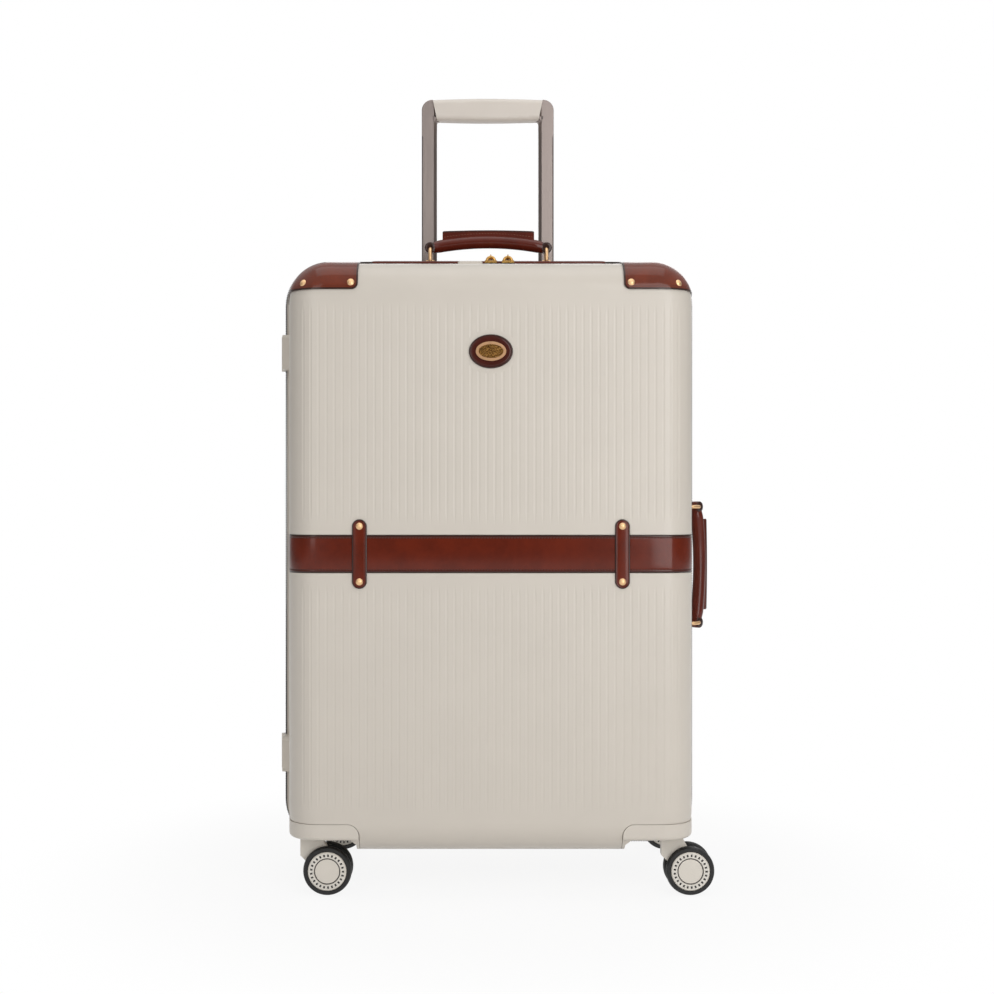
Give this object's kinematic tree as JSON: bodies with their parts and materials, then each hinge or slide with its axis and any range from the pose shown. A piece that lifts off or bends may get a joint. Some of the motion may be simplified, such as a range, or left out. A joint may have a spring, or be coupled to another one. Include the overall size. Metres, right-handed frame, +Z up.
{
  "type": "spinner suitcase",
  "caption": "Ribbed hard-shell suitcase that opens on a side hinge, with zip, dial lock, leather trim, carry handles, telescopic trolley and swivelling twin-wheel casters.",
  "frame": {"origin": "on the floor under the middle of the case, in the plane where the two halves meet", "axes": "+Z up, +X towards the side carry handle, -Y towards the strapped front"},
  "size_m": [0.5378, 0.3166, 0.9773],
  "materials": {
    "ivory_shell": "satin moulded",
    "ivory_trim": "fine matt moulded",
    "brown_leather": "smooth polished",
    "lining_cloth": "plain woven",
    "zip_cloth": "woven tape with a coil",
    "brass": "polished",
    "tube_alloy": "satin anodised",
    "steel": "plain",
    "dark_plastic": "matt",
    "tyre_rubber": "matt"
  },
  "bodies": {
    "rear_half": {"rear_shell": "ivory_shell", "rear_lining": "lining_cloth", "rear_zip_tape": "zip_cloth", "rear_hinge_leaves": "ivory_trim", "hinge_pins": "steel", "rear_corner_guards": "brown_leather", "rear_rivets": "brass", "top_handle_base": "brown_leather", "handle_brackets": "brass", "trolley_collar": "ivory_trim", "trolley_outer_tubes": "tube_alloy", "trolley_foot": "dark_plastic", "rear_caster_housings": "ivory_trim"},
    "front_half": {"front_shell": "ivory_shell", "front_lining": "lining_cloth", "packing_straps": "zip_cloth", "front_zip_tape": "zip_cloth", "front_hinge_leaves": "ivory_trim", "front_corner_guards": "brown_leather", "front_rivets": "brass", "front_strap": "brown_leather", "strap_keepers": "brown_leather", "badge_backing": "brown_leather", "badge_plate": "brass", "lock_housing": "ivory_trim", "front_caster_housings": "ivory_trim"},
    "left_lock_dial": {"left_lock_dial": "brass"},
    "middle_lock_dial": {"middle_lock_dial": "brass"},
    "right_lock_dial": {"right_lock_dial": "brass"},
    "lock_release": {"lock_release": "brass"},
    "left_zip_slider": {"left_zip_slider": "brass"},
    "right_zip_slider": {"right_zip_slider": "brass"},
    "left_zip_pull": {"left_zip_pull": "brass"},
    "right_zip_pull": {"right_zip_pull": "brass"},
    "top_handle": {"top_handle_grip": "brown_leather", "top_handle_rings": "brass"},
    "side_handle": {"side_handle_grip": "brown_leather", "side_handle_rings": "brass"},
    "trolley_middle": {"trolley_middle_tubes": "tube_alloy"},
    "trolley_handle": {"trolley_inner_tubes": "tube_alloy", "grip_corners": "tube_alloy", "trolley_grip": "ivory_trim"},
    "trolley_button": {"release_button": "tube_alloy", "release_linkage": "dark_plastic"},
    "front_left_caster": {"front_left_fork": "ivory_trim"},
    "front_left_wheels": {"front_left_axle": "steel", "front_left_wheel_cores": "ivory_trim", "front_left_tyres": "tyre_rubber"},
    "front_right_caster": {"front_right_fork": "ivory_trim"},
    "front_right_wheels": {"front_right_axle": "steel", "front_right_wheel_cores": "ivory_trim", "front_right_tyres": "tyre_rubber"},
    "rear_left_caster": {"rear_left_fork": "ivory_trim"},
    "rear_left_wheels": {"rear_left_axle": "steel", "rear_left_wheel_cores": "ivory_trim", "rear_left_tyres": "tyre_rubber"},
    "rear_right_caster": {"rear_right_fork": "ivory_trim"},
    "rear_right_wheels": {"rear_right_axle": "steel", "rear_right_wheel_cores": "ivory_trim", "rear_right_tyres": "tyre_rubber"}
  },
  "joints": [
    {"name": "case_hinge", "type": "hinge", "parent": "rear_half", "child": "front_half", "pos_m": [-0.2516, 0, 0.3903], "axis": [0, 0, -1], "range_deg": [0, 168]},
    {"name": "left_dial_turn", "type": "hinge", "parent": "front_half", "child": "left_lock_dial", "pos_m": [-0.0299, -0.0316, 0.7393], "axis": [1, 0, 0], "continuous": true},
    {"name": "middle_dial_turn", "type": "hinge", "parent": "front_half", "child": "middle_lock_dial", "pos_m": [-0.0233, -0.0316, 0.7393], "axis": [1, 0, 0], "continuous": true},
    {"name": "right_dial_turn", "type": "hinge", "parent": "front_half", "child": "right_lock_dial", "pos_m": [-0.0167, -0.0316, 0.7393], "axis": [1, 0, 0], "continuous": true},
    {"name": "lock_release_slide", "type": "slide", "parent": "front_half", "child": "lock_release", "axis": [1, 0, 0], "range_m": [0, 0.004], "stiffness_N_per_m": 300},
    {"name": "left_zip_run", "type": "slide", "parent": "rear_half", "child": "left_zip_slider", "axis": [1, 0, 0], "range_m": [-0.18, 0]},
    {"name": "right_zip_run", "type": "slide", "parent": "rear_half", "child": "right_zip_slider", "axis": [1, 0, 0], "range_m": [0, 0.165]},
    {"name": "left_pull_swing", "type": "hinge", "parent": "left_zip_slider", "child": "left_zip_pull", "pos_m": [0.0024, 0, 0.7552], "axis": [1, 0, 0], "range_deg": [0, 165]},
    {"name": "right_pull_swing", "type": "hinge", "parent": "right_zip_slider", "child": "right_zip_pull", "pos_m": [0.0235, 0, 0.7552], "axis": [1, 0, 0], "range_deg": [0, 165]},
    {"name": "top_handle_swing", "type": "hinge", "parent": "rear_half", "child": "top_handle", "pos_m": [0, 0.047, 0.76], "axis": [1, 0, 0], "range_deg": [-80, 55]},
    {"name": "side_handle_swing", "type": "hinge", "parent": "rear_half", "child": "side_handle", "pos_m": [0.25456, 0.047, 0.3728], "axis": [0, 0, 1], "range_deg": [-110, 25]},
    {"name": "trolley_middle_slide", "type": "slide", "parent": "rear_half", "child": "trolley_middle", "axis": [0, 0, 1], "range_m": [0, 0.13]},
    {"name": "trolley_handle_slide", "type": "slide", "parent": "trolley_middle", "child": "trolley_handle", "axis": [0, 0, 1], "range_m": [-0.225, 0]},
    {"name": "button_press", "type": "slide", "parent": "trolley_handle", "child": "trolley_button", "axis": [0, 0, -1], "range_m": [0, 0.003], "stiffness_N_per_m": 600},
    {"name": "front_left_swivel", "type": "hinge", "parent": "front_half", "child": "front_left_caster", "pos_m": [-0.209, -0.113, 0.068], "axis": [0, 0, 1], "continuous": true},
    {"name": "front_left_roll", "type": "hinge", "parent": "front_left_caster", "child": "front_left_wheels", "pos_m": [-0.188, -0.113, 0.028], "axis": [0, 1, 0], "continuous": true},
    {"name": "front_right_swivel", "type": "hinge", "parent": "front_half", "child": "front_right_caster", "pos_m": [0.209, -0.113, 0.068], "axis": [0, 0, 1], "continuous": true},
    {"name": "front_right_roll", "type": "hinge", "parent": "front_right_caster", "child": "front_right_wheels", "pos_m": [0.23, -0.113, 0.028], "axis": [0, 1, 0], "continuous": true},
    {"name": "rear_left_swivel", "type": "hinge", "parent": "rear_half", "child": "rear_left_caster", "pos_m": [-0.209, 0.113, 0.068], "axis": [0, 0, 1], "continuous": true},
    {"name": "rear_left_roll", "type": "hinge", "parent": "rear_left_caster", "child": "rear_left_wheels", "pos_m": [-0.188, 0.113, 0.028], "axis": [0, 1, 0], "continuous": true},
    {"name": "rear_right_swivel", "type": "hinge", "parent": "rear_half", "child": "rear_right_caster", "pos_m": [0.209, 0.113, 0.068], "axis": [0, 0, 1], "continuous": true},
    {"name": "rear_right_roll", "type": "hinge", "parent": "rear_right_caster", "child": "rear_right_wheels", "pos_m": [0.23, 0.113, 0.028], "axis": [0, 1, 0], "continuous": true}
  ]
}
